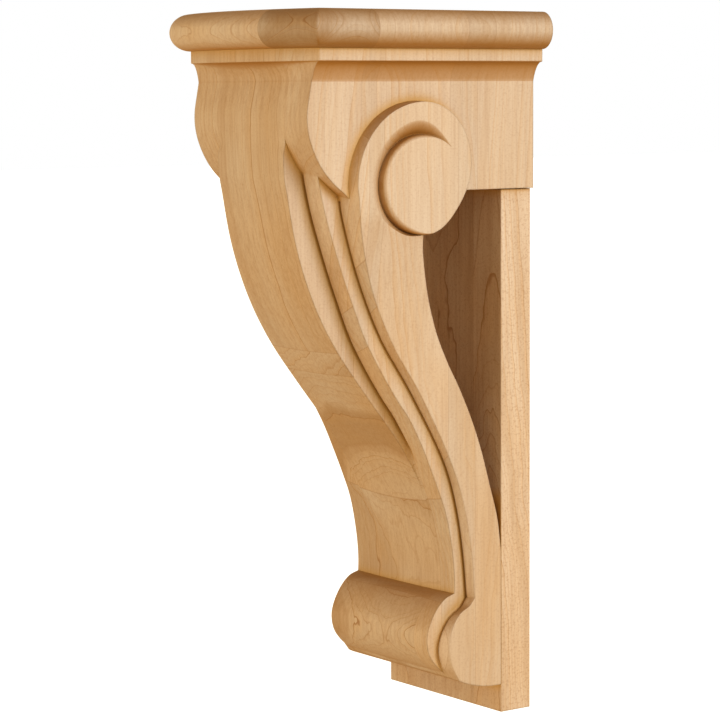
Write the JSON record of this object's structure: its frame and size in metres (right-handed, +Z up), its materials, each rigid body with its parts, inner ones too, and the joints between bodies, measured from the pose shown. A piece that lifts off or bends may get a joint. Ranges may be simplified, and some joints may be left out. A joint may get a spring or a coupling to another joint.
{
  "type": "wooden corbel bracket",
  "caption": "Carved wooden corbel bracket with a bowed moulded cap, side scrolls, a stepped curved front ending in a roll, and a flat back plate.",
  "frame": {"origin": "middle of the flat back that goes on the wall, halfway up the whole height", "axes": "+Z up, front towards -Y, +X to the right seen from the front"},
  "size_m": [0.1294, 0.1568, 0.3556],
  "materials": {
    "carved_maple": "sanded, unfinished",
    "plate_maple": "sanded, unfinished"
  },
  "bodies": {
    "root": {"corbel_body": "carved_maple", "back_plate": "plate_maple"}
  },
  "joints": []
}
